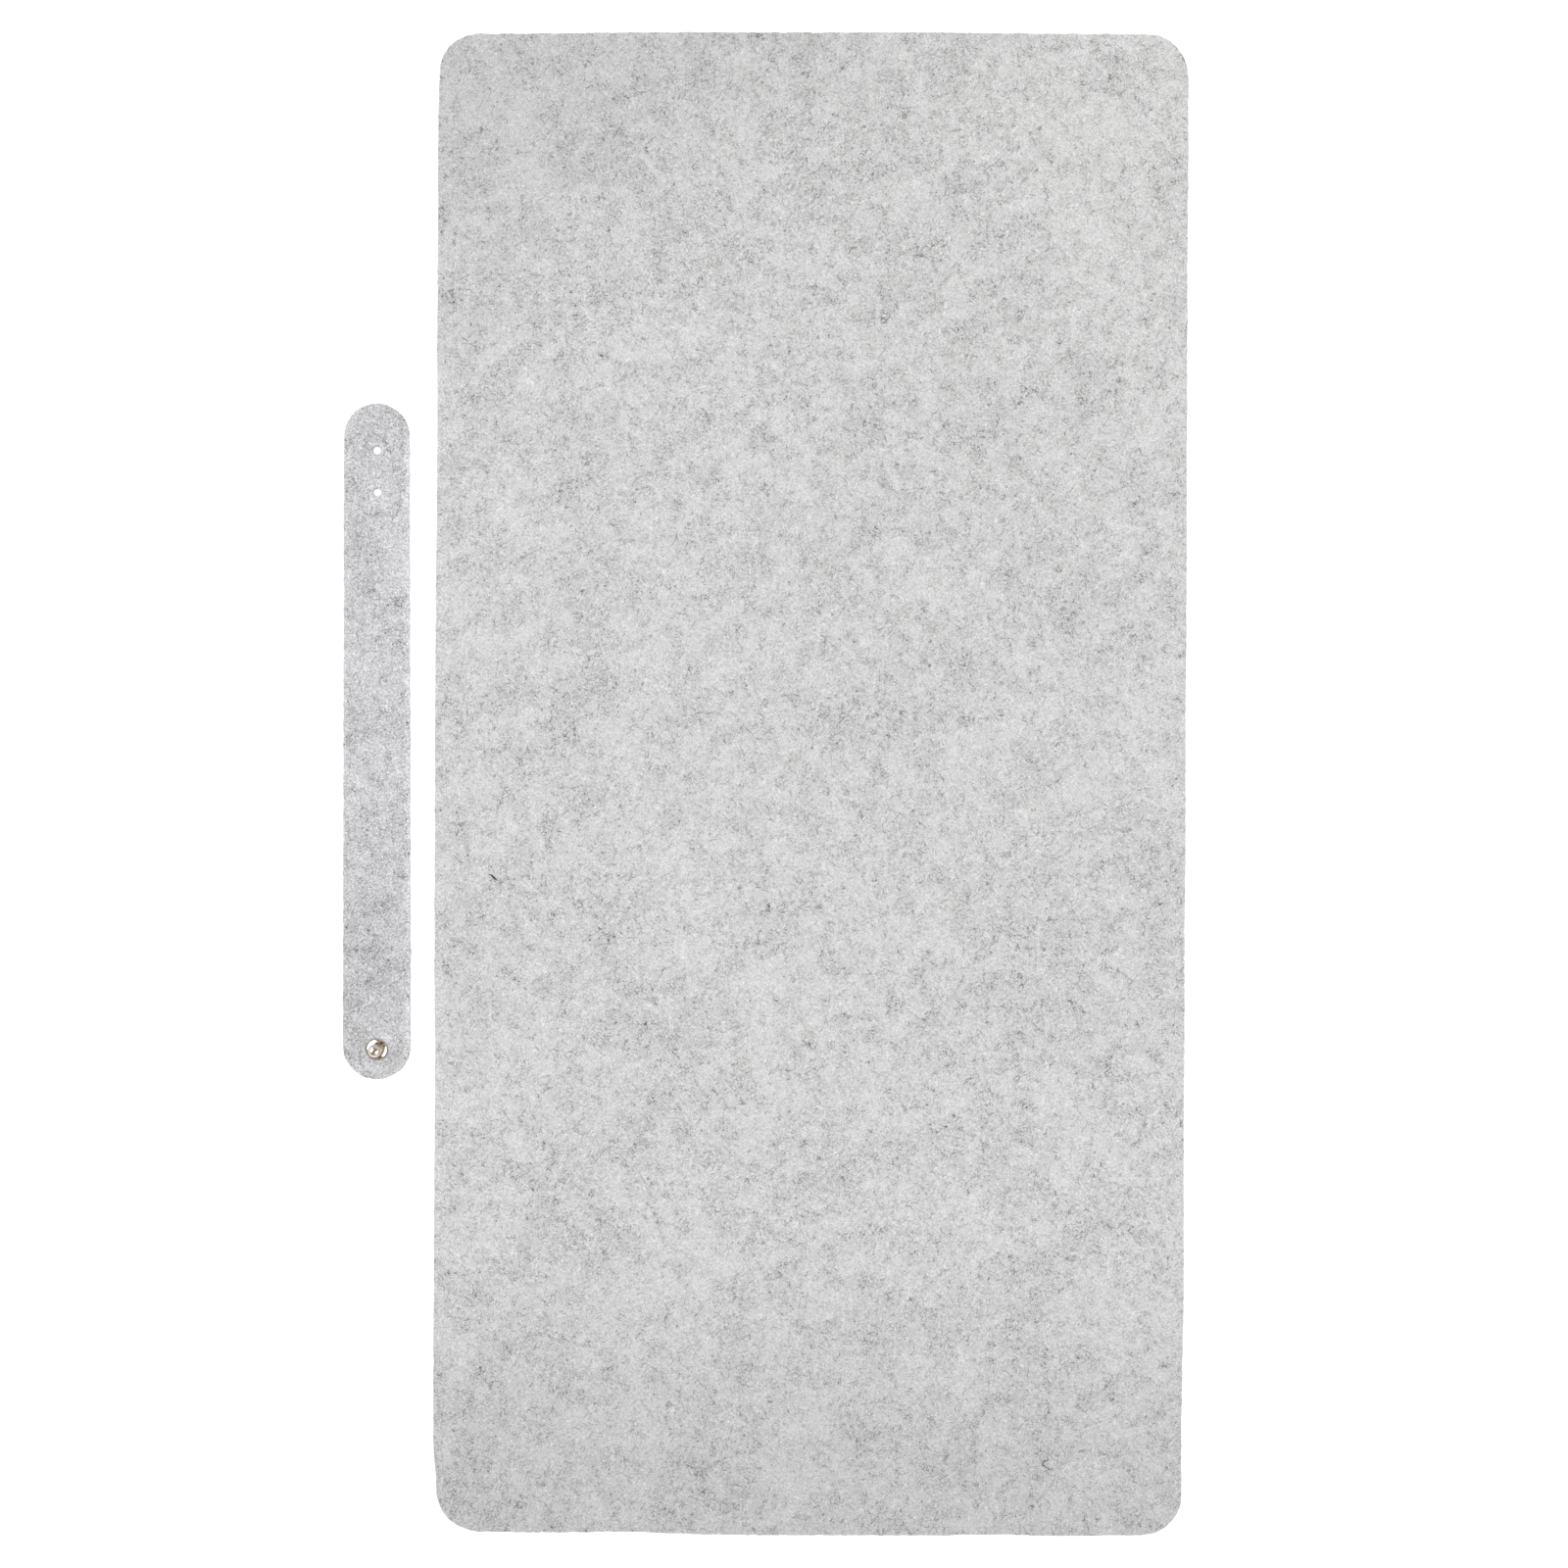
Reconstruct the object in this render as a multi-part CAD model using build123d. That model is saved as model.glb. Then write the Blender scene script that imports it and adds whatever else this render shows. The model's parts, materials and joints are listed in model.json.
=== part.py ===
from build123d import *
import math
import os

# Felt desk mat with its separate closing strap, lying flat beside it.
# Millimetres. Origin: centre of the mat's underside. +Y runs along the mat, +X across it, +Z up.

# Mat
mat_width = 400.0
mat_length = 800.0
mat_corner_radius = 22.0
felt_thickness = 3.0

# Strap: a strip with round ends on the mat's -X side, with button holes at its +Y end
strap_width = 35.5
strap_length = 361.0
strap_gap = 13.3
strap_middle_y = 22.5
hole_diameter = 4.0
hole_count = 2
first_hole_inset = 25.1
hole_spacing = 22.4
stud_inset = 15.9

# Stud: domed flange, neck and ball, turned in one piece
flange_diameter = 10.8
flange_rim_height = 0.5
flange_crown_height = 1.4
flange_dome_rise = 0.26
flange_foot_bevel = 0.15
flange_rim_rounding = 0.2
neck_diameter = 4.2
neck_height = 3.2
neck_rounding = 0.35
ball_diameter = 7.0
seat_gap = 0.02

# Thread that joins screw and stud: 3 mm across, 0.5 mm pitch, right-handed
thread_diameter = 3.0
thread_pitch = 0.5
thread_depth = 0.27
thread_root_width = 0.36
thread_crest_width = 0.08
thread_clearance = 0.04
thread_sink = 0.03
thread_engagement = 4.5
thread_hole_depth = 5.4

# Screw: flat slotted head below the strap, shank up through the strap into the stud
head_diameter = 9.0
head_thickness = 1.1
head_edge_rounding = 0.3
head_side_clearance = 0.3
head_recess_depth = 1.2
shank_clearance = 0.08
slot_width = 1.0
slot_depth = 0.5
tip_bevel = 0.25

# How far a cutting shape runs past the face it cuts, and how closely an edge's place is matched
overrun = 1.0
match = 0.01

# Worked-out sizes and places
strap_x = -(mat_width / 2 + strap_gap + strap_width / 2)
strap_top_y = strap_middle_y + strap_length / 2
strap_bottom_y = strap_middle_y - strap_length / 2
stud_y = strap_bottom_y + stud_inset
hole_ys = [strap_top_y - first_hole_inset - i * hole_spacing for i in range(hole_count)]
flange_z = felt_thickness + seat_gap
head_z = head_recess_depth - head_thickness - seat_gap
shank_bottom_z = head_z + head_thickness
shank_top_z = flange_z + thread_engagement
thread_core_radius = thread_diameter / 2 - thread_depth
thread_turns = (shank_top_z - shank_bottom_z) / thread_pitch


def at_stud(z):
    """The stud's axis at height z."""
    return Location((strap_x, stud_y, z))


def disc(diameter, bottom, top):
    """An upright cylinder about the stud's axis, from height bottom to height top."""
    cylinder = Cylinder(diameter / 2, top - bottom, align=(Align.CENTER, Align.CENTER, Align.MIN))
    return at_stud(bottom) * cylinder


def thread_ridge(growth, turns):
    """The thread's helical ridge about the stud's axis, from the screw's head up, growth larger all over."""
    inner = thread_core_radius + growth - thread_sink
    crest = thread_core_radius + thread_depth + growth
    slope = (thread_root_width - thread_crest_width) / 2 / thread_depth
    crest_half = thread_crest_width / 2 + growth * math.hypot(1, slope) - growth * slope
    inner_half = crest_half + (crest - inner) * slope
    section = Polyline(
        (inner, 0, -inner_half),
        (crest, 0, -crest_half),
        (crest, 0, crest_half),
        (inner, 0, inner_half),
        close=True,
    )
    path = Helix(thread_pitch, turns * thread_pitch, thread_core_radius)
    ridge = sweep(make_face(section), path, is_frenet=True)
    return at_stud(shank_bottom_z) * ridge


def make_mat():
    outline = RectangleRounded(mat_width, mat_length, mat_corner_radius)
    return extrude(outline, felt_thickness)


def make_strap():
    strip = extrude(SlotOverall(strap_length, strap_width, rotation=90), felt_thickness)
    strap = Location((strap_x, strap_middle_y, 0)) * strip
    for hole_y in hole_ys:
        hole = Cylinder(hole_diameter / 2, felt_thickness + 2 * overrun)
        strap -= Location((strap_x, hole_y, felt_thickness / 2)) * hole
    strap -= disc(thread_diameter + 2 * shank_clearance, -overrun, felt_thickness + overrun)
    strap -= disc(head_diameter + 2 * head_side_clearance, -overrun, head_recess_depth)
    return strap


def stud_profile():
    """Half of the stud's section in the XZ plane, from its flat foot up to the top of its ball."""
    flange_radius = flange_diameter / 2
    neck_radius = neck_diameter / 2
    ball_radius = ball_diameter / 2
    neck_top = flange_crown_height + neck_height
    ball_z = neck_top + math.sqrt(ball_radius**2 - neck_radius**2)
    dome_x = (flange_radius + neck_radius) / 2
    dome_z = (flange_rim_height + flange_crown_height) / 2 + flange_dome_rise
    foot_edge = (flange_radius - flange_foot_bevel, 0, 0)
    rim_bottom = (flange_radius, 0, flange_foot_bevel)
    rim_top = (flange_radius, 0, flange_rim_height)
    neck_foot = (neck_radius, 0, flange_crown_height)
    ball_foot = (neck_radius, 0, neck_top)
    ball_top = (0, 0, ball_z + ball_radius)
    lines = [
        Polyline((0, 0, 0), foot_edge, rim_bottom, rim_top),
        ThreePointArc(rim_top, (dome_x, 0, dome_z), neck_foot),
        Line(neck_foot, ball_foot),
        ThreePointArc(ball_foot, (ball_radius, 0, ball_z), ball_top),
        Line(ball_top, (0, 0, 0)),
    ]
    return make_face(lines)


def make_stud():
    stud = revolve(stud_profile(), Axis.Z)
    circles = stud.edges().filter_by(GeomType.CIRCLE)
    neck_corners = [circle for circle in circles if abs(circle.radius - neck_diameter / 2) < match]
    stud = fillet(neck_corners, neck_rounding)
    circles = stud.edges().filter_by(GeomType.CIRCLE)
    rim = circles.filter_by_position(Axis.Z, flange_rim_height - match, flange_rim_height + match)
    stud = at_stud(flange_z) * fillet(rim, flange_rim_rounding)
    tap_diameter = 2 * (thread_core_radius + thread_clearance)
    tap = disc(tap_diameter, flange_z - overrun, flange_z + thread_hole_depth)
    tap += thread_ridge(thread_clearance, thread_turns + 1)
    return stud - tap


def make_screw():
    head = Cylinder(head_diameter / 2, head_thickness, align=(Align.CENTER, Align.CENTER, Align.MIN))
    head = fillet(head.edges().group_by(Axis.Z)[0], head_edge_rounding)
    screw = at_stud(head_z) * head
    shank = disc(2 * thread_core_radius, head_z, shank_top_z)
    shank = chamfer(shank.edges().group_by(Axis.Z)[-1], tip_bevel)
    screw += shank
    screw += thread_ridge(0, thread_turns - 1)
    slot = Box(head_diameter + overrun, slot_width, 2 * slot_depth)
    return screw - at_stud(head_z) * slot


os.makedirs("parts", exist_ok=True)
export_step(make_mat(), "parts/mat_sheet.step")
export_step(make_strap(), "parts/strap_band.step")
export_step(make_stud(), "parts/ball_stud.step")
export_step(make_screw(), "parts/stud_screw.step")
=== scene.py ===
import json
import math

import bpy
import numpy as np
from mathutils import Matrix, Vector
from mathutils.geometry import delaunay_2d_cdt


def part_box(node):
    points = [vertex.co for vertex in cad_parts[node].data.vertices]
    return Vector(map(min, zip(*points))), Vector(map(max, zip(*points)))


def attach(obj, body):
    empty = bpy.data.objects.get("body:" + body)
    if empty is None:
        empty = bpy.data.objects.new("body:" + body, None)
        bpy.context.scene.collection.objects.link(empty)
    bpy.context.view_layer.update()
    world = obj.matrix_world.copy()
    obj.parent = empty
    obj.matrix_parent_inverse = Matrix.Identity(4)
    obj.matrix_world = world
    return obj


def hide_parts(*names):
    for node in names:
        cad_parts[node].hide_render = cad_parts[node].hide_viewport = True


# The felt desk mat and its closing strap, lying on a white table, seen from straight above.
# Metres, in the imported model's frame: the mat's underside is at z = 0 with its centre at the origin.

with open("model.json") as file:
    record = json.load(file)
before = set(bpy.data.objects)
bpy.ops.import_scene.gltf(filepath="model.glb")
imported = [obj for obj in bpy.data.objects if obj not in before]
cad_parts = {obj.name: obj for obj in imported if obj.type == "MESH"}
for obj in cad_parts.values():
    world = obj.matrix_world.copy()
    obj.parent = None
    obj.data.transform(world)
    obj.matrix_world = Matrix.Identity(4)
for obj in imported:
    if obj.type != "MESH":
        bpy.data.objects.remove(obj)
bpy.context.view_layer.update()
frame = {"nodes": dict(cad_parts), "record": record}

MM = 0.001
TAU = 2 * math.pi

mat_low, mat_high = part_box("mat_sheet")
strap_low, strap_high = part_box("strap_band")
stud_low, stud_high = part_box("ball_stud")
screw_low, screw_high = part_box("stud_screw")
mounts = {mount["name"]: mount for mount in frame["record"]["mounts"]}

# Felt: the height of its top face, the mat's corner radii, the spacing of outline points, and the grid
# spacings of the top face and the underside
FELT_TOP = mat_high.z
CORNER_RADII = {
    "right_top": 22.0 * MM,
    "left_top": 21.0 * MM,
    "left_bottom": 25.0 * MM,
    "right_bottom": 22.0 * MM,
}
OUTLINE_STEP = 1.5 * MM
STRAP_OUTLINE_STEP = 0.9 * MM
MAT_GRIDS = (2.6 * MM, 9.0 * MM)
STRAP_GRIDS = (1.1 * MM, 2.2 * MM)

# How a hand-cut sheet differs from its ideal outline: it leans and is shifted to the right, it is a little
# too wide, its top and bottom edges slope and bow outwards, and its bottom end is shifted further
MAT_LEAN = 0.0047
MAT_SHIFT = 0.35 * MM
MAT_EXTRA = 0.25 * MM
TOP_SLOPE = -0.0014
BOTTOM_SLOPE = -0.0062
TOP_BOW = 1.2 * MM
BOTTOM_BOW = 1.3 * MM
BOTTOM_SHIFT = 0.5 * MM
# Where the right side (1) or the left side (-1) is pulled in, or out where the amount is below 0: side,
# middle and spread along y, amount
SIDE_PULLS = [
    (1, -350 * MM, 45 * MM, 1.0 * MM),
    (1, 388 * MM, 14 * MM, 0.5 * MM),
    (-1, -375 * MM, 14 * MM, 1.8 * MM),
    (-1, -346 * MM, 14 * MM, 0.3 * MM),
    (-1, 60 * MM, 150 * MM, -0.25 * MM),
    (-1, 375 * MM, 20 * MM, 0.55 * MM),
]
# Where the bottom edge is pulled in: middle and spread along x, amount
BOTTOM_PULLS = [(-98 * MM, 24 * MM, 1.0 * MM), (101 * MM, 20 * MM, 0.7 * MM)]

# The mat's underside stands a little off the table and is slightly uneven
UNDERSIDE_LIFT = 0.06 * MM
UNDERSIDE_WAVE = 0.02 * MM
UNDERSIDE_WAVE_NUMBERS = (900, 1100)

# The felt's random fields by size in mm
BROAD_SIZE = 45
PATCH_SIZE = 11
SPOT_SIZE = 4.5
TANGLE_SIZE = 1.7
GRAIN_SIZE = 0.74

# Layers of curly strands in the felt's surface: size of the field in mm, line width in mm, curl, strength
DARK_STRANDS = [
    (7.5, 0.24, 1.3, 0.30),
    (5.2, 0.24, 1.5, 0.29),
    (3.7, 0.24, 1.2, 0.25),
    (2.6, 0.24, 1.0, 0.21),
]
PALE_STRANDS = [
    (4.4, 0.24, 1.2, 0.15),
    (2.6, 0.24, 1.2, 0.14),
]

# How much each field darkens or lightens the felt, the darkest shade that they may make together, how much
# painted shade darkens the sideways-facing cut edge, and the height of the surface's fine relief
GATHER = 0.07
KNOT = 0.03
TANGLE = 0.21
GRAIN = 1.06
DARKEST_SHADE = 0.12
CUT_EDGE_PAINTED_SHADE = 0.16
FELT_BUMP = 0.35 * MM

# Painted light and shade, slow changes of brightness painted into the felt: a direction, where along it in
# metres they start and end, and how much darker they are (paler below 0). The mat has painted shade at its
# bottom end and top left corner and painted light at its top right. The strap has painted shade towards the
# stud, except at its very end, and painted light along its right edge.
MAT_PAINTED_LIGHT = [
    ((0.0, -1.0, 0.0), 0.22, 0.40, 0.148),
    ((-0.6, 1.0, 0.0), 0.30, 0.50, 0.13),
    ((1.0, 0.35, 0.0), 0.15, 0.30, -0.045),
]
STRAP_PAINTED_LIGHT = [
    ((0.0, -1.0, 0.0), 0.02, 0.075, 0.062),
    ((0.0, -1.0, 0.0), 0.115, 0.150, -0.04),
    ((1.0, 0.0, 0.0), -0.2183, -0.2130, -0.22),
]

# Base colours, and how the strap's pattern differs from the mat's
MAT_GREY = (0.600, 0.600, 0.600)
STRAP_GREY = (0.558, 0.555, 0.570)
STRAP_CONTRAST = 1.32
STRAP_GRAIN_SHARE = 1.45
DARK_FIBRE = (0.16, 0.16, 0.165)
PALE_FIBRE = (0.86, 0.86, 0.86)
EDGE_FIBRE = (0.54, 0.54, 0.55)
STRAY_FIBRE = (0.045, 0.04, 0.038)

# Seeds of the felt's waves, of the loose fibres and of each sheet's pattern, and how many waves make one
# random field
FELT_SEED = 11
FIBRE_SEED = 23
MAT_PATTERN = 3.0
STRAP_PATTERN = 17.0
WAVES = 14

# Camera: straight down, as far above the felt as gives the photograph's slight perspective
CAMERA_HEIGHT = 1.25
VIEW_WIDTH = 0.8371
VIEW_CENTRE = (-0.0137, -0.0003)


# ---------------------------------------------------------------- small helpers


def link(obj):
    bpy.context.scene.collection.objects.link(obj)
    return obj


def mesh_object(name, points, faces, material):
    mesh = bpy.data.meshes.new(name)
    mesh.from_pydata([tuple(p) for p in points], [], faces)
    mesh.validate()
    mesh.update()
    mesh.polygons.foreach_set("use_smooth", [True] * len(mesh.polygons))
    mesh.materials.append(material)
    return link(bpy.data.objects.new(name, mesh))


def ripples(rng, wavelength, amplitude):
    """Random plane waves near one wavelength, whose sum is a smooth random field."""
    angle = rng.uniform(0, TAU, WAVES)
    number = TAU / (wavelength * rng.uniform(0.7, 1.5, WAVES))
    phase = rng.uniform(0, TAU, WAVES)
    size = amplitude * math.sqrt(2 / WAVES)
    return np.column_stack([number * np.cos(angle), number * np.sin(angle), phase, np.full(WAVES, size)])


def many_ripples(rng, sizes):
    """Ripples of several wavelengths and amplitudes, both in mm."""
    return np.concatenate([ripples(rng, wavelength * MM, amplitude * MM) for wavelength, amplitude in sizes])


def field(waves, x, y):
    """The height of a set of ripples at points x, y."""
    total = np.zeros(np.shape(x))
    for wave_x, wave_y, phase, size in waves:
        total += size * np.sin(wave_x * x + wave_y * y + phase)
    return total


# ---------------------------------------------------------------- node helpers


class Nodes:
    """Short calls for building one shader node tree."""

    def __init__(self, name):
        self.material = bpy.data.materials.new(name)
        self.material.use_nodes = True
        self.tree = self.material.node_tree
        self.tree.nodes.clear()
        self.output = self.tree.nodes.new("ShaderNodeOutputMaterial")
        self.shader = self.tree.nodes.new("ShaderNodeBsdfPrincipled")
        self.tree.links.new(self.shader.outputs[0], self.output.inputs["Surface"])

    def put(self, socket, value):
        if isinstance(value, bpy.types.NodeSocket):
            self.tree.links.new(value, socket)
        else:
            socket.default_value = value

    def math(self, operation, a, b=0.0, c=0.0):
        node = self.tree.nodes.new("ShaderNodeMath")
        node.operation = operation
        for socket, value in zip(node.inputs, (a, b, c)):
            self.put(socket, value)
        return node.outputs[0]

    def add(self, a, b):
        return self.math("ADD", a, b)

    def times(self, a, b):
        return self.math("MULTIPLY", a, b)

    def step(self, value, low, high, to_low=0.0, to_high=1.0):
        """A smooth ramp from to_low at low to to_high at high."""
        node = self.tree.nodes.new("ShaderNodeMapRange")
        node.interpolation_type = "SMOOTHSTEP"
        for name, number in (("Value", value), ("From Min", low), ("From Max", high)):
            self.put(node.inputs[name], number)
        self.put(node.inputs["To Min"], to_low)
        self.put(node.inputs["To Max"], to_high)
        return node.outputs["Result"]

    def coordinates(self, kind):
        """The point on the object in metres (Object) or the direction that its surface faces (Normal)."""
        return self.tree.nodes.new("ShaderNodeTexCoord").outputs[kind]

    def position(self, size, seed=0.0):
        """The point on the object in units of size metres, turned and shifted differently for each seed."""
        mapping = self.tree.nodes.new("ShaderNodeMapping")
        sides = size if isinstance(size, tuple) else (size,) * 3
        mapping.inputs["Scale"].default_value = [1 / side for side in sides]
        mapping.inputs["Rotation"].default_value = (0.9 + 1.3 * seed, 0.6 + 0.7 * seed, 2.1 * seed)
        mapping.inputs["Location"].default_value = (3.7 * seed, 1.9 * seed, 0.7 * seed)
        self.tree.links.new(self.coordinates("Object"), mapping.inputs["Vector"])
        return mapping.outputs[0]

    def noise(self, vector, detail=2.0, roughness=0.5, distortion=0.0):
        node = self.tree.nodes.new("ShaderNodeTexNoise")
        node.inputs["Scale"].default_value = 1.0
        node.inputs["Detail"].default_value = detail
        node.inputs["Roughness"].default_value = roughness
        node.inputs["Distortion"].default_value = distortion
        self.put(node.inputs["Vector"], vector)
        return node.outputs["Fac"]

    def split(self, vector):
        node = self.tree.nodes.new("ShaderNodeSeparateXYZ")
        self.put(node.inputs[0], vector)
        return node.outputs

    def dot(self, vector, direction):
        """How far a vector reaches along a direction."""
        node = self.tree.nodes.new("ShaderNodeVectorMath")
        node.operation = "DOT_PRODUCT"
        self.put(node.inputs[0], vector)
        node.inputs[1].default_value = direction
        return node.outputs["Value"]

    def mix(self, factor, a, b):
        node = self.tree.nodes.new("ShaderNodeMix")
        node.data_type = "RGBA"
        self.put(node.inputs["Factor"], factor)
        self.put(node.inputs[6], a)
        self.put(node.inputs[7], b)
        return node.outputs[2]

    def tint(self, colour, level):
        """A colour made lighter or darker by level."""
        node = self.tree.nodes.new("ShaderNodeVectorMath")
        node.operation = "SCALE"
        node.inputs[0].default_value = colour
        self.put(node.inputs["Scale"], level)
        return node.outputs[0]

    def bump(self, height, distance):
        node = self.tree.nodes.new("ShaderNodeBump")
        node.inputs["Strength"].default_value = 1.0
        node.inputs["Distance"].default_value = distance
        self.put(node.inputs["Height"], height)
        return node.outputs[0]


def strands(nodes, size, width, curl, seed):
    """Curly lines where a random field crosses its middle value, 1 on the line and 0 off it. Sizes in mm."""
    value = nodes.noise(nodes.position(size * MM, seed), 1.0, 0.5, curl)
    off = nodes.math("ABSOLUTE", nodes.math("SUBTRACT", value, 0.5))
    return nodes.step(off, 0.5 * width / size, 0.1 * width / size)


def layered(nodes, layers, seed):
    """The sum of several layers of strands."""
    total = 0.0
    for index, (size, width, curl, strength) in enumerate(layers):
        line = strands(nodes, size, width, curl, seed + 5.3 * index)
        total = nodes.math("MULTIPLY_ADD", line, strength, total)
    return total


def felt_material(name, base, seed, painted_light, contrast=1.0, grain_share=1.0):
    """Pressed heather felt: a pale matted ground with darker curly fibres that gather in soft patches.
    contrast scales the whole pattern, and grain_share gives its finest grain a larger part of it."""
    nodes = Nodes(name)
    broad = nodes.noise(nodes.position(BROAD_SIZE * MM, seed), 3.0, 0.6, 0.4)
    patches = nodes.noise(nodes.position(PATCH_SIZE * MM, seed + 1), 3.0, 0.6, 0.8)
    spots = nodes.noise(nodes.position(SPOT_SIZE * MM, seed + 2), 3.0, 0.6, 1.0)
    tangle = nodes.noise(nodes.position(TANGLE_SIZE * MM, seed + 3), 2.0, 0.6, 1.2)
    grain = nodes.noise(nodes.position(GRAIN_SIZE * MM, seed + 4), 1.0, 0.6, 0.8)
    # The dark fibres gather in soft patches, and most of all in knots inside them
    cluster = nodes.add(nodes.times(broad, 0.35), nodes.times(patches, 0.65))
    gathered = nodes.step(cluster, 0.38, 0.62)
    knots = nodes.step(nodes.add(nodes.times(cluster, 0.55), nodes.times(spots, 0.45)), 0.40, 0.62)
    dark = nodes.times(layered(nodes, DARK_STRANDS, seed + 11), nodes.math("MULTIPLY_ADD", knots, 1.1, 0.25))
    dark = nodes.times(dark, 1 / grain_share)
    pale = layered(nodes, PALE_STRANDS, seed + 43)

    # Each layer darkens or lightens the ground, which starts lighter to keep the mean tone
    layers = [
        (gathered, -GATHER * contrast),
        (knots, -KNOT * contrast),
        (nodes.math("SUBTRACT", tangle, 0.5), TANGLE / grain_share * contrast),
        (nodes.math("SUBTRACT", grain, 0.5), GRAIN * grain_share * contrast),
        (dark, -contrast),
        (pale, contrast),
    ]
    shade = 1.0 + 0.5 * (GATHER + KNOT) * contrast
    for layer, amount in layers:
        shade = nodes.math("MULTIPLY_ADD", layer, amount, shade)
    # Painted light and shade: the felt is made slowly darker or paler along given directions
    for direction, start, end, amount in painted_light:
        along = nodes.dot(nodes.coordinates("Object"), direction)
        shade = nodes.times(shade, nodes.step(along, start, end, 1.0, 1 - amount))
    # Painted shade: the cut edge faces sideways and is painted darker than the top face
    facing_up = nodes.split(nodes.coordinates("Normal"))[2]
    shade = nodes.times(shade, nodes.step(facing_up, 0.15, 0.60, 1 - CUT_EDGE_PAINTED_SHADE, 1.0))
    shade = nodes.math("MAXIMUM", shade, DARKEST_SHADE)
    nodes.put(nodes.shader.inputs["Base Color"], nodes.tint(base, shade))
    nodes.put(nodes.shader.inputs["Roughness"], nodes.step(grain, 0.3, 0.7, 0.82, 1.0))
    nodes.shader.inputs["Specular IOR Level"].default_value = 0.15
    nodes.shader.inputs["Sheen Weight"].default_value = 0.12
    nodes.shader.inputs["Sheen Roughness"].default_value = 0.6
    # The tangle, the grain and the pale strands also stand out a little as relief
    height = nodes.math("MULTIPLY_ADD", grain, 0.6, tangle)
    height = nodes.math("MULTIPLY_ADD", pale, 0.8, height)
    nodes.put(nodes.shader.inputs["Normal"], nodes.bump(height, FELT_BUMP))
    return nodes.material


def fibre_material(name, base):
    """A single fibre's dull surface, a little lighter and darker from place to place."""
    nodes = Nodes(name)
    patch = nodes.noise(nodes.position(6 * MM, 5), 2.0, 0.6)
    along = nodes.noise(nodes.position(0.9 * MM, 9), 2.0, 0.6)
    shade = nodes.math("MULTIPLY_ADD", patch, 0.9, 0.45)
    shade = nodes.math("MULTIPLY_ADD", along, 0.3, shade)
    nodes.put(nodes.shader.inputs["Base Color"], nodes.tint(base, shade))
    nodes.put(nodes.shader.inputs["Roughness"], nodes.step(along, 0.3, 0.7, 0.6, 0.9))
    nodes.shader.inputs["Specular IOR Level"].default_value = 0.2
    return nodes.material


def nickel_material(name, tint, roughness):
    """Polished nickel plate with a faint cloudiness and fine wiping marks."""
    nodes = Nodes(name)
    cloud = nodes.noise(nodes.position(2.2 * MM), 3.0, 0.6)
    marks = nodes.noise(nodes.position((0.12 * MM, 1.5 * MM, 0.12 * MM)), 2.0, 0.6, 0.3)
    colour = nodes.mix(nodes.step(cloud, 0.35, 0.7), (*tint, 1.0), (*[0.86 * c for c in tint], 1.0))
    nodes.put(nodes.shader.inputs["Base Color"], colour)
    nodes.shader.inputs["Metallic"].default_value = 1.0
    rough = nodes.add(nodes.step(cloud, 0.3, 0.75, roughness, roughness * 1.7), nodes.times(marks, 0.05))
    nodes.put(nodes.shader.inputs["Roughness"], rough)
    nodes.put(nodes.shader.inputs["Normal"], nodes.bump(marks, 0.004 * MM))
    return nodes.material


# ---------------------------------------------------------------- felt sheets


def rounded_outline(low, high, radii, step):
    """Points round a rectangle with its own radius at each corner, anticlockwise from the right side."""
    corners = [
        (high.x, high.y, radii["right_top"], 0.0),
        (low.x, high.y, radii["left_top"], 0.25),
        (low.x, low.y, radii["left_bottom"], 0.5),
        (high.x, low.y, radii["right_bottom"], 0.75),
    ]
    points = []
    for x, y, radius, turn in corners:
        start = TAU * turn
        centre_x = x - math.copysign(radius, x - (low.x + high.x) / 2)
        centre_y = y - math.copysign(radius, y - (low.y + high.y) / 2)
        count = max(8, round(radius * TAU / 4 / step))
        for i in range(count + 1):
            angle = start + TAU / 4 * i / count
            points.append((centre_x + radius * math.cos(angle), centre_y + radius * math.sin(angle)))
    return spread(points, step)


def spread(corner_points, step):
    """Even steps along the closed line through corner_points."""
    line = np.array(corner_points + corner_points[:1])
    runs = np.hypot(*np.diff(line, axis=0).T)
    length = np.concatenate([[0], np.cumsum(runs)])
    count = round(length[-1] / step)
    at = np.linspace(0, length[-1], count, endpoint=False)
    return np.column_stack([np.interp(at, length, line[:, 0]), np.interp(at, length, line[:, 1])])


def outward(loop):
    """Unit normals that point out of an anticlockwise loop."""
    along = np.roll(loop, -1, axis=0) - np.roll(loop, 1, axis=0)
    along /= np.hypot(along[:, 0], along[:, 1])[:, None]
    return np.column_stack([along[:, 1], -along[:, 0]])


# How many points are measured at once, which keeps the memory small
BATCH = 2000


def distance_inside(points, loop):
    """How far each point is inside a closed loop, in metres; negative outside."""
    normals = outward(loop)
    result = np.empty(len(points))
    for start in range(0, len(points), BATCH):
        part = points[start : start + BATCH]
        gaps = part[:, None, :] - loop[None, :, :]
        nearest = np.argmin((gaps**2).sum(2), axis=1)
        rows = np.arange(len(part))
        result[start : start + BATCH] = -(gaps[rows, nearest] * normals[nearest]).sum(1)
    return result


def hex_grid(low, high, step):
    rows = np.arange(low[1], high[1], step * math.sqrt(3) / 2)
    points = []
    for index, y in enumerate(rows):
        x = np.arange(low[0] + (index % 2) * step / 2, high[0], step)
        points.append(np.column_stack([x, np.full(len(x), y)]))
    return np.concatenate(points)


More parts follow.
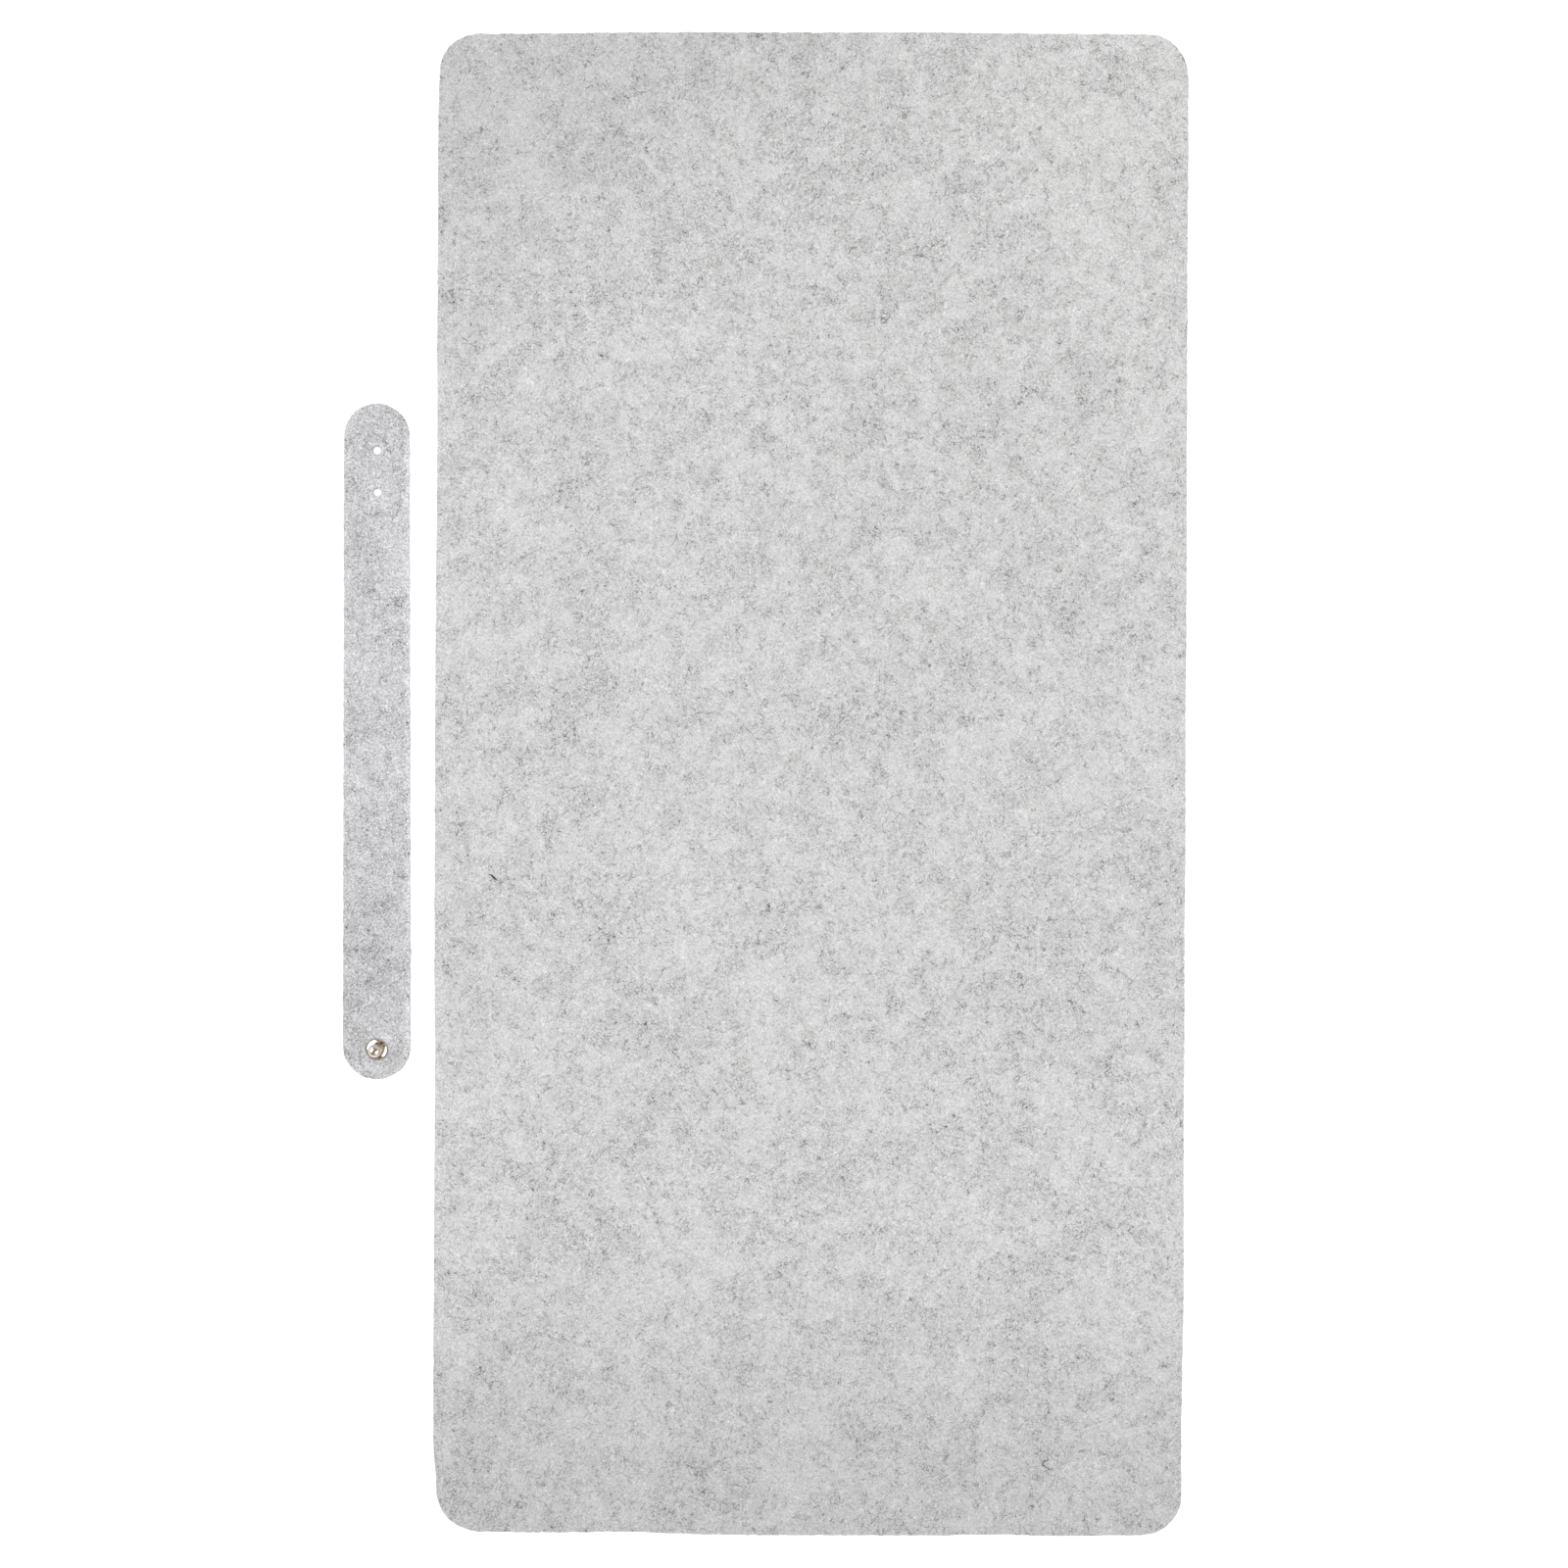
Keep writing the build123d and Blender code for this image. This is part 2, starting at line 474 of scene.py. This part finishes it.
# Inset from the cut edge in mm and share of the height, from the top face round to the underside
EDGE_PROFILE = [
    (1.00, 1.00),
    (0.55, 0.985),
    (0.26, 0.94),
    (0.08, 0.85),
    (0.00, 0.70),
    (0.03, 0.48),
    (0.01, 0.27),
    (0.10, 0.11),
    (0.32, 0.02),
    (0.90, 0.00),
]
HOLE_PROFILE = [
    (0.60, 1.00),
    (0.30, 0.97),
    (0.10, 0.88),
    (0.00, 0.70),
    (0.00, 0.35),
    (0.06, 0.15),
    (0.22, 0.04),
    (0.60, 0.00),
]

# How far the waves of the ragged edge move between the underside and the top face
RAGGED_SHIFT = 7 * MM

# How near the face's grid comes to its edges and to the rounds in it, as shares of the grid's spacing
EDGE_CLEARANCE = 0.55
ROUND_CLEARANCE = 0.4

# Settings of the triangulation: keep what is inside the outer edges, and how close two points may be
INSIDE_ONLY = 1
SAME_POINT = 1e-7


def felt_sheet(name, loops, profiles, grids, heights, ragged, material, rounds=()):
    """A cut sheet of felt. loops[0] is its outline and the rest are holes, each with its edge profile.
    grids and heights are for the top face and then the underside, and ragged moves the cut edges in and out.
    rounds are circles of extra points in both faces, where something presses into the felt."""
    vertices = []
    faces = []
    total = 0
    rims = []
    for side, (grid, height) in enumerate(zip(grids, heights)):
        rings = []
        for index, (loop, profile) in enumerate(zip(loops, profiles)):
            inset = profile[-side][0] * MM * (1 if index == 0 else -1)
            rings.append(loop - outward(loop) * inset)
        points, triangles = face_triangles(rings, grid, rounds)
        vertices.append(np.column_stack([points, height(points[:, 0], points[:, 1])]))
        faces += [tuple(t) for t in (triangles + total)[:, :: 1 - 2 * side].tolist()]
        rims.append(total)
        total += len(points)
    top, bottom = heights
    for index, (loop, profile) in enumerate(zip(loops, profiles)):
        size = len(loop)
        normals = outward(loop) * (1 if index == 0 else -1)
        rings = [np.arange(rims[0], rims[0] + size)]
        for inset, share in profile[1:-1]:
            edge_share = 1 - inset / profile[0][0]
            noise = field(ragged, loop[:, 0], loop[:, 1] + RAGGED_SHIFT * share) * edge_share
            ring = loop + normals * (noise - inset * MM)[:, None]
            high = top(ring[:, 0], ring[:, 1])
            low = bottom(ring[:, 0], ring[:, 1])
            vertices.append(np.column_stack([ring, low + (high - low) * share]))
            rings.append(np.arange(total, total + size))
            total += size
        rings.append(np.arange(rims[1], rims[1] + size))
        for upper, lower in zip(rings, rings[1:]):
            quads = np.column_stack([upper, lower, np.roll(lower, -1), np.roll(upper, -1)])
            faces += [tuple(q) for q in quads[:, :: 1 if index == 0 else -1].tolist()]
        rims = [rim + size for rim in rims]
    return mesh_object(name, np.concatenate(vertices), faces, material)


def face_triangles(rings, grid, rounds):
    """Points and triangles of one face: its edge rings first, then the rounds and a grid inside them."""
    outer = rings[0]
    inner = hex_grid(outer.min(axis=0), outer.max(axis=0), grid)
    inner = inner[distance_inside(inner, outer) > EDGE_CLEARANCE * grid]
    for ring in rings[1:]:
        inner = inner[distance_inside(inner, ring) < -EDGE_CLEARANCE * grid]
    if len(rounds):
        inner = inner[distance_inside(inner, rounds[-1]) < -ROUND_CLEARANCE * grid]
    points = np.concatenate([*rings, *rounds, inner])
    edges = []
    start = 0
    for ring in rings:
        size = len(ring)
        edges += [(start + i, start + (i + 1) % size) for i in range(size)]
        start += size
    made = delaunay_2d_cdt([Vector(p) for p in points], edges, [], INSIDE_ONLY, SAME_POINT)
    kept = [origins[0] for origins in made[3]]
    triangles = np.array([[kept[i] for i in face] for face in made[2]])
    for ring in rings[1:]:
        middles = points[triangles].mean(axis=1)
        triangles = triangles[distance_inside(middles, ring) < 0]
    return points, triangles


# ---------------------------------------------------------------- loose fibres

# How deep a lying fibre's ends go into the felt, how far it stays from edges and metal, and its points
TUCK = 0.10 * MM
FIBRE_CLEARANCE = 0.4 * MM
FIBRE_POINTS = 10

# A curly line's overall bend and the size of its waves in radians, and how many waves it has
CURL_BEND = 1.3
CURL_WAVE = (0.3, 1.2)
CURL_BEATS = (0.5, 1.6)

# Hairs of the cut edge: depth of their roots, spread of their directions in radians, lowest height, typical,
# least and greatest length in mm, range of heights as a share of the felt's, mean and spread of how steeply
# they rise, range of radii in mm, and their points
FUZZ_ROOT = 0.12 * MM
FUZZ_SPREAD = 0.65
FUZZ_LOWEST = 0.12 * MM
FUZZ_LENGTHS = (0.75, 0.3, 2.2)
FUZZ_HEIGHTS = (0.08, 0.90)
FUZZ_RISE = (0.05, 0.35)
FUZZ_RADII = (0.025, 0.05)
FUZZ_POINTS = 5


def fibre_mesh(name, paths, radii, material):
    """Thin three-sided tubes along paths (fibres, points, 3), pointed at both ends."""
    count, size = paths.shape[:2]
    along = np.gradient(paths, axis=1)
    along /= np.linalg.norm(along, axis=2, keepdims=True) + 1e-12
    side = np.cross(along, [0.0, 0.0, 1.0])
    side /= np.linalg.norm(side, axis=2, keepdims=True) + 1e-9
    up = np.cross(side, along)
    rings = []
    for k in range(3):
        angle = TAU * k / 3 + TAU / 4
        around = side * math.cos(angle) + up * math.sin(angle)
        rings.append(paths + around * radii[:, :, None])
    body = np.stack(rings, axis=2)[:, 1:-1].reshape(count, -1, 3)
    vertices = np.concatenate([paths[:, :1], body, paths[:, -1:]], axis=1)
    per = vertices.shape[1]
    pattern = []
    for k in range(3):
        after = (k + 1) % 3
        pattern.append((0, 1 + after, 1 + k))
        for i in range(size - 3):
            a, b = 1 + 3 * i, 4 + 3 * i
            pattern.append((a + k, a + after, b + after, b + k))
        last = per - 4
        pattern.append((per - 1, last + k, last + after))
    faces = []
    for f in range(count):
        base = f * per
        faces += [tuple(base + i for i in face) for face in pattern]
    return mesh_object(name, vertices.reshape(-1, 3), faces, material)


def curls(rng, roots, headings, lengths, points, anchor):
    """Level curly lines, each with its point number anchor at its root: one (lines, points, 2) array."""
    count = len(roots)
    steps = np.linspace(0, 1, points)[None, :]
    bend = rng.normal(0, CURL_BEND, (count, 1))
    wave = rng.uniform(*CURL_WAVE, (count, 1))
    beat = rng.uniform(*CURL_BEATS, (count, 1)) * TAU
    phase = rng.uniform(0, TAU, (count, 1))
    heading = headings[:, None] + bend * steps + wave * np.sin(beat * steps + phase)
    pace = lengths[:, None] / (points - 1)
    moves = np.stack([np.cos(heading) * pace, np.sin(heading) * pace], axis=2)
    line = np.cumsum(moves, axis=1)
    return line + (roots - line[:, anchor])[:, None, :]


def lying_fibres(rng, name, outline, obstacles, top, patches, count, sizes, material):
    """Curly fibres matted into the top face: their middles rise a little and their ends are tucked in.
    sizes are the ranges of length, radius and rise in mm. More of them lie where the patches are high."""
    (short, long), (thin, thick), (flat, proud) = sizes
    points = FIBRE_POINTS
    roots = rng.uniform(outline.min(axis=0), outline.max(axis=0), (count * 3, 2))
    chance = 0.5 + 0.5 * np.tanh(field(patches, roots[:, 0], roots[:, 1]))
    roots = roots[rng.uniform(0, 1, len(roots)) < chance][: round(count * 1.1)]
    total = len(roots)
    lengths = rng.uniform(short, long, total) * MM
    level = curls(rng, roots, rng.uniform(0, TAU, total), lengths, points, points // 2)
    clear = distance_inside(level.reshape(-1, 2), outline).reshape(total, points).min(axis=1)
    for x, y, radius in obstacles:
        clear = np.minimum(clear, np.hypot(level[:, :, 0] - x, level[:, :, 1] - y).min(axis=1) - radius)
    level = level[clear > FIBRE_CLEARANCE][:count]
    total = len(level)
    arch = np.sin(np.linspace(0, math.pi, points))
    rise = rng.uniform(flat, proud, (total, 1)) * MM
    high = top(level[:, :, 0], level[:, :, 1]) + (rise + TUCK) * arch - TUCK
    radii = rng.uniform(thin, thick, (total, 1)) * MM * (0.35 + 0.65 * arch)
    return fibre_mesh(name, np.concatenate([level, high[:, :, None]], axis=2), radii, material)


def edge_fuzz(rng, name, outline, count, material):
    """Short fine hairs that stand out of the cut edge."""
    points = FUZZ_POINTS
    index = rng.integers(0, len(outline), count)
    share = rng.uniform(0, 1, (count, 1))
    normals = outward(outline)[index]
    after = np.roll(outline, -1, axis=0)
    roots = outline[index] * (1 - share) + after[index] * share - normals * FUZZ_ROOT
    headings = np.arctan2(normals[:, 1], normals[:, 0]) + rng.normal(0, FUZZ_SPREAD, count)
    typical, least, greatest = FUZZ_LENGTHS
    lengths = np.clip(rng.exponential(typical, count), least, greatest) * MM
    level = curls(rng, roots, headings, lengths, points, 0)
    away = np.linspace(0, 1, points)[None, :] * lengths[:, None]
    high = rng.uniform(*FUZZ_HEIGHTS, (count, 1)) * FELT_TOP + rng.normal(*FUZZ_RISE, (count, 1)) * away
    high = np.maximum(high, FUZZ_LOWEST)
    radii = rng.uniform(*FUZZ_RADII, (count, 1)) * MM * np.linspace(1.0, 0.5, points)[None, :]
    return fibre_mesh(name, np.concatenate([level, high[:, :, None]], axis=2), radii, material)


# ---------------------------------------------------------------- the mat


def warp(points):
    """Moves ideal points of the mat to where the slightly skewed and bowed real sheet has them."""
    x, y = points[:, 0], points[:, 1]
    half_x, half_y = mat_high.x, mat_high.y
    share = (y / half_y + 1) / 2
    bow = 1 - (x / half_x) ** 2
    new_x = x * (1 + MAT_EXTRA / half_x) + MAT_SHIFT + MAT_LEAN * y + (1 - share) ** 2 * BOTTOM_SHIFT
    for side, middle, reach, amount in SIDE_PULLS:
        near = np.exp(-(((y - middle) / reach) ** 2))
        new_x = new_x - side * amount * near * np.clip(side * x / half_x, 0, 1)
    new_y = y + share**2 * (TOP_SLOPE * x + TOP_BOW * bow)
    new_y = new_y + (1 - share) ** 2 * (BOTTOM_SLOPE * x - BOTTOM_BOW * bow - MAT_EXTRA)
    for middle, reach, amount in BOTTOM_PULLS:
        new_y = new_y + amount * np.exp(-(((x - middle) / reach) ** 2)) * np.clip(-y / half_y, 0, 1)
    return np.column_stack([new_x, new_y])


felt_rng = np.random.default_rng(FELT_SEED)
mat_relief = many_ripples(felt_rng, [(9, 0.05), (30, 0.10), (120, 0.12)])
mat_edge_waves = many_ripples(felt_rng, [(140, 0.12)])
mat_ragged = many_ripples(felt_rng, [(4, 0.10), (14, 0.08)])


def mat_top(x, y):
    return FELT_TOP + field(mat_relief, x, y)


def mat_bottom(x, y):
    along_x, along_y = UNDERSIDE_WAVE_NUMBERS
    return UNDERSIDE_LIFT + UNDERSIDE_WAVE * np.sin(x * along_x) * np.sin(y * along_y)


def make_mat(material):
    outline = warp(rounded_outline(mat_low, mat_high, CORNER_RADII, OUTLINE_STEP))
    outline = outline + outward(outline) * field(mat_edge_waves, outline[:, 0], outline[:, 1])[:, None]
    mat = felt_sheet(
        "mat_felt", [outline], [EDGE_PROFILE], MAT_GRIDS, (mat_top, mat_bottom), mat_ragged, material
    )
    return mat, outline


# A dark kinked hair that lies by itself near the bottom right corner, and a short thick fleck at the left:
# their points and radii in mm, how thick their tips are as a share of their middles, and how high they lie
STRAY_HAIR = [
    (127.3, -359.2),
    (127.3, -361.2),
    (124.8, -362.1),
    (124.3, -363.5),
    (126.0, -365.0),
    (128.2, -366.2),
    (130.4, -365.5),
]
STRAY_FLECK = [
    (-171.9, -48.4),
    (-170.6, -48.7),
    (-169.6, -49.3),
    (-168.8, -50.1),
    (-167.9, -50.9),
    (-166.9, -51.6),
    (-165.5, -52.3),
]
STRAY_RADII = [[0.24], [0.60]]
STRAY_TIPS = [[0.8], [0.25]]
STRAY_LIFT = 0.05 * MM


def stray_hair(material):
    """The two stray fibres, which lie on the felt and thin out towards their ends."""
    level = np.array([STRAY_HAIR, STRAY_FLECK]) * MM
    arch = np.sin(np.linspace(0, math.pi, level.shape[1]))
    tips = np.array(STRAY_TIPS)
    radii = np.array(STRAY_RADII) * MM * (tips + (1 - tips) * arch**2)
    high = mat_top(level[:, :, 0], level[:, :, 1]) + STRAY_LIFT + 0.5 * radii
    paths = np.concatenate([level, high[:, :, None]], axis=2)
    return fibre_mesh("mat_stray_hair", paths, radii, material)


# ---------------------------------------------------------------- the strap

# The strap's width at its upper and lower end, how far left it lies of its ideal place, how high its
# underside is above the table, and how many straight pieces make each round end
STRAP_WIDTHS = (34.9 * MM, 36.0 * MM)
STRAP_SHIFT = 0.25 * MM
STRAP_LIFT = 0.05 * MM
STRAP_END_PIECES = 40

# How many times as wide as in the CAD each punched button hole is
HOLE_STRETCH = {
    "button_hole_end": 1.07,
    "button_hole_inner": 1.02,
}

# The hollow that the screw's head presses into the underside: its depth, its flat rim and the width of its
# slope. Then the radius of the hole that the screw goes through.
HEAD_HOLLOW = 1.22 * MM
HOLLOW_RIM = 0.35 * MM
HOLLOW_SLOPE = 1.6 * MM
SCREW_HOLE = 1.58 * MM

# How many points go round a button hole, the screw's hole and each round of the groove
HOLE_POINTS = 28
SCREW_HOLE_POINTS = 20
ROUND_POINTS = 64

# The groove and the swell round the stud, with places and widths as shares of the flange's radius, and the
# rounds of extra points that give them their shape
GROOVE_DEPTH = 0.45 * MM
GROOVE_START = 1.01
GROOVE_WIDTH = 0.11
SWELL = 0.16 * MM
SWELL_PLACE = 1.25
SWELL_WIDTH = 0.22
GROOVE_ROUNDS = (0.45, 0.62, 0.80, 0.92, 0.98, 1.01, 1.04, 1.08, 1.12, 1.20, 1.32)

strap_x = (strap_low.x + strap_high.x) / 2 - STRAP_SHIFT
strap_relief = many_ripples(felt_rng, [(5, 0.06), (18, 0.10)])
strap_ragged = many_ripples(felt_rng, [(3, 0.07), (11, 0.10)])
stud_x = (stud_low.x + stud_high.x) / 2
stud_y = (stud_low.y + stud_high.y) / 2
flange_radius = (stud_high.x - stud_low.x) / 2
head_radius = (screw_high.x - screw_low.x) / 2


def strap_outline():
    """A strip with round ends, a little wider at the stud's end."""
    upper, lower = STRAP_WIDTHS[0] / 2, STRAP_WIDTHS[1] / 2
    points = []
    ends = ((upper, strap_high.y - upper, 0.0), (lower, strap_low.y + lower, math.pi))
    for radius, middle_y, start in ends:
        for i in range(STRAP_END_PIECES + 1):
            angle = start + math.pi * i / STRAP_END_PIECES
            points.append((strap_x + radius * math.cos(angle), middle_y + radius * math.sin(angle)))
    return spread(points, STRAP_OUTLINE_STEP)


def circle(x, y, radius, count):
    angles = np.linspace(0, TAU, count, endpoint=False)
    return np.column_stack([x + radius * np.cos(angles), y + radius * np.sin(angles)])


def strap_top(x, y):
    """Level felt, pressed down under the stud's flange, with a groove round it and a slight swell beyond."""
    away = np.hypot(x - stud_x, y - stud_y) / flange_radius
    level = strap_high.z + field(strap_relief, x, y)
    swell = SWELL * np.exp(-(((away - SWELL_PLACE) / SWELL_WIDTH) ** 2))
    pressed = strap_high.z - GROOVE_DEPTH
    share = np.clip((away - GROOVE_START) / GROOVE_WIDTH, 0, 1)
    return pressed + (level + swell - pressed) * share


def strap_bottom(x, y):
    """The underside, with the round hollow that the screw's head has pressed into it."""
    away = np.hypot(x - stud_x, y - stud_y)
    share = 1 - np.clip((away - head_radius - HOLLOW_RIM) / HOLLOW_SLOPE, 0, 1)
    return STRAP_LIFT + HEAD_HOLLOW * share**2 * (3 - 2 * share)


def make_strap(material):
    loops = [strap_outline()]
    profiles = [EDGE_PROFILE]
    for name in HOLE_STRETCH:
        x, y, _ = mounts[name]["pos_m"]
        radius = mounts[name]["dims"]["r_mm"] * HOLE_STRETCH[name] * MM
        loops.append(circle(x, y, radius, HOLE_POINTS))
        profiles.append(HOLE_PROFILE)
    loops.append(circle(stud_x, stud_y, SCREW_HOLE, SCREW_HOLE_POINTS))
    profiles.append(HOLE_PROFILE)
    rounds = [circle(stud_x, stud_y, flange_radius * share, ROUND_POINTS) for share in GROOVE_ROUNDS]
    heights = (strap_top, strap_bottom)
    strap = felt_sheet("strap_felt", loops, profiles, STRAP_GRIDS, heights, strap_ragged, material, rounds)
    return strap, loops[0]


# ---------------------------------------------------------------- build

mat_material = felt_material("mat_felt_grey", MAT_GREY, MAT_PATTERN, MAT_PAINTED_LIGHT)
strap_material = felt_material(
    "strap_felt_grey", STRAP_GREY, STRAP_PATTERN, STRAP_PAINTED_LIGHT, STRAP_CONTRAST, STRAP_GRAIN_SHARE
)
dark_material = fibre_material("dark_fibre", DARK_FIBRE)
pale_material = fibre_material("pale_fibre", PALE_FIBRE)
fuzz_material = fibre_material("edge_fibre", EDGE_FIBRE)
stray_material = fibre_material("stray_fibre", STRAY_FIBRE)

# Lying fibres: their ranges of length, radius and rise in mm
DARK_SIZES = ((4.0, 11.0), (0.05, 0.09), (0.04, 0.14))
PALE_SIZES = ((3.0, 9.0), (0.04, 0.07), (0.06, 0.40))

# How many dark and pale fibres lie on each sheet, and how many hairs stand out of its cut edge
MAT_COUNTS = (2400, 1800, 3000)
STRAP_COUNTS = (170, 150, 900)

mat, mat_edge = make_mat(mat_material)
fibre_rng = np.random.default_rng(FIBRE_SEED)
mat_patches = np.concatenate([ripples(fibre_rng, 60 * MM, 0.7), ripples(fibre_rng, 22 * MM, 0.9)])
mat_face = (mat_edge, [], mat_top, mat_patches)
mat_extras = [
    lying_fibres(fibre_rng, "mat_dark_fibres", *mat_face, MAT_COUNTS[0], DARK_SIZES, dark_material),
    lying_fibres(fibre_rng, "mat_pale_fibres", *mat_face, MAT_COUNTS[1], PALE_SIZES, pale_material),
    edge_fuzz(fibre_rng, "mat_edge_fuzz", mat_edge, MAT_COUNTS[2], fuzz_material),
    stray_hair(stray_material),
]
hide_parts("mat_sheet")
for piece in (mat, *mat_extras):
    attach(piece, "mat")

strap, strap_edge = make_strap(strap_material)
obstacles = [(stud_x, stud_y, flange_radius)]
for name in HOLE_STRETCH:
    x, y, _ = mounts[name]["pos_m"]
    obstacles.append((x, y, mounts[name]["dims"]["r_mm"] * MM))
strap_patches = ripples(fibre_rng, 25 * MM, 0.8)
strap_face = (strap_edge, obstacles, strap_top, strap_patches)
strap_extras = [
    lying_fibres(fibre_rng, "strap_dark_fibres", *strap_face, STRAP_COUNTS[0], DARK_SIZES, dark_material),
    lying_fibres(fibre_rng, "strap_pale_fibres", *strap_face, STRAP_COUNTS[1], PALE_SIZES, pale_material),
    edge_fuzz(fibre_rng, "strap_edge_fuzz", strap_edge, STRAP_COUNTS[2], fuzz_material),
]
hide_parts("strap_band")
for piece in (strap, *strap_extras):
    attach(piece, "strap")

# The two metal CAD nodes, with their nickel's tint and roughness
METAL = {
    "ball_stud": ((0.70, 0.645, 0.575), 0.07),
    "stud_screw": ((0.66, 0.61, 0.55), 0.22),
}
for node, (tint, roughness) in METAL.items():
    cad = frame["nodes"][node]
    metal = nickel_material(node + "_nickel", tint, roughness)
    for material_slot in cad.material_slots:
        material_slot.material = metal


# ---------------------------------------------------------------- studio

# The table: its half size in metres, its two greys, its glow
TABLE_HALF_SIZE = 20.0
TABLE_GREYS = ((0.34, 0.34, 0.34, 1), (0.36, 0.36, 0.36, 1))
TABLE_GLOW = 0.86

# The dome is white below one height and brown above the other, as sines of the height angle. The brown has
# patches of two colours: how small they are, and between which values of their noise one becomes the other
HORIZON_TOP = 0.27
CEILING_START = 0.37
CEILING_TAN = (0.56, 0.47, 0.38, 1)
CEILING_BROWN = (0.06, 0.045, 0.035, 1)
CEILING_PATCH_SCALE = 4.2
CEILING_PATCH_EDGE = (0.48, 0.57)

# Soft lamps: each one's place in metres and power in watts, and the size and colour that they share
SOFTBOXES = {
    "softbox_left": ((-1.48, 0.62, 1.45), 38.4),
    "softbox_right": ((1.40, -0.80, 1.40), 33.4),
}
SOFTBOX_SIZE = (2.4, 1.5)
SOFTBOX_COLOUR = (0.864, 0.930, 1.0)


def make_floor():
    """A white table that glows like a light table, so that it stays white near the felt and in the holes."""
    nodes = Nodes("table_white")
    speck = nodes.noise(nodes.position(6 * MM), 2.0)
    nodes.put(nodes.shader.inputs["Base Color"], nodes.mix(speck, *TABLE_GREYS))
    nodes.shader.inputs["Roughness"].default_value = 0.9
    nodes.shader.inputs["Specular IOR Level"].default_value = 0.1
    nodes.shader.inputs["Emission Color"].default_value = (1, 1, 1, 1)
    nodes.shader.inputs["Emission Strength"].default_value = TABLE_GLOW
    size = TABLE_HALF_SIZE
    corners = [(-size, -size, 0), (size, -size, 0), (size, size, 0), (-size, size, 0)]
    floor = mesh_object("table_top", corners, [(0, 1, 2, 3)], nodes.material)


def make_dome():
    """A studio, white near the horizon, with a patchy brown ceiling that the polished stud reflects."""
    world = bpy.data.worlds.new("studio")
    world.use_nodes = True
    tree = world.node_tree
    direction = tree.nodes.new("ShaderNodeTexCoord").outputs["Generated"]
    split = tree.nodes.new("ShaderNodeSeparateXYZ")
    patches = tree.nodes.new("ShaderNodeTexNoise")
    patches.inputs["Scale"].default_value = CEILING_PATCH_SCALE
    patches.inputs["Detail"].default_value = 1.0
    tree.links.new(direction, split.inputs[0])
    tree.links.new(direction, patches.inputs["Vector"])
    ceiling = dome_blend(tree, patches.outputs["Fac"], *CEILING_PATCH_EDGE, CEILING_TAN, CEILING_BROWN)
    colour = dome_blend(tree, split.outputs["Z"], HORIZON_TOP, CEILING_START, (1, 1, 1, 1), ceiling)
    tree.links.new(colour, tree.nodes["Background"].inputs["Color"])
    bpy.context.scene.world = world


def dome_blend(tree, value, low, high, below, above):
    """One colour below low and another above high, with a smooth change between them."""
    ramp = tree.nodes.new("ShaderNodeMapRange")
    ramp.interpolation_type = "SMOOTHSTEP"
    ramp.inputs["From Min"].default_value = low
    ramp.inputs["From Max"].default_value = high
    mix = tree.nodes.new("ShaderNodeMix")
    mix.data_type = "RGBA"
    tree.links.new(value, ramp.inputs["Value"])
    tree.links.new(ramp.outputs["Result"], mix.inputs["Factor"])
    for socket, colour in ((mix.inputs[6], below), (mix.inputs[7], above)):
        if isinstance(colour, tuple):
            socket.default_value = colour
        else:
            tree.links.new(colour, socket)
    return mix.outputs[2]


def softbox(name, position, power):
    """A wide soft lamp that faces the mat's middle, a little blue to balance the brown ceiling."""
    data = bpy.data.lights.new(name, "AREA")
    data.shape = "RECTANGLE"
    data.size, data.size_y = SOFTBOX_SIZE
    data.color = SOFTBOX_COLOUR
    data.energy = power
    light = link(bpy.data.objects.new(name, data))
    light.location = position
    light.rotation_euler = (-Vector(position)).to_track_quat("-Z", "Y").to_euler()


def make_studio():
    make_floor()
    make_dome()
    for name, (position, power) in SOFTBOXES.items():
        softbox(name, position, power)
    bpy.context.scene.view_settings.view_transform = "Standard"
    bpy.context.scene.view_settings.look = "None"


def make_camera():
    data = bpy.data.cameras.new("camera")
    data.sensor_width = 36.0
    data.lens = data.sensor_width * CAMERA_HEIGHT / VIEW_WIDTH
    data.clip_start = 0.01
    data.clip_end = 50.0
    camera = link(bpy.data.objects.new("camera", data))
    camera.location = (*VIEW_CENTRE, FELT_TOP + CAMERA_HEIGHT)
    bpy.context.scene.camera = camera


make_studio()
make_camera()
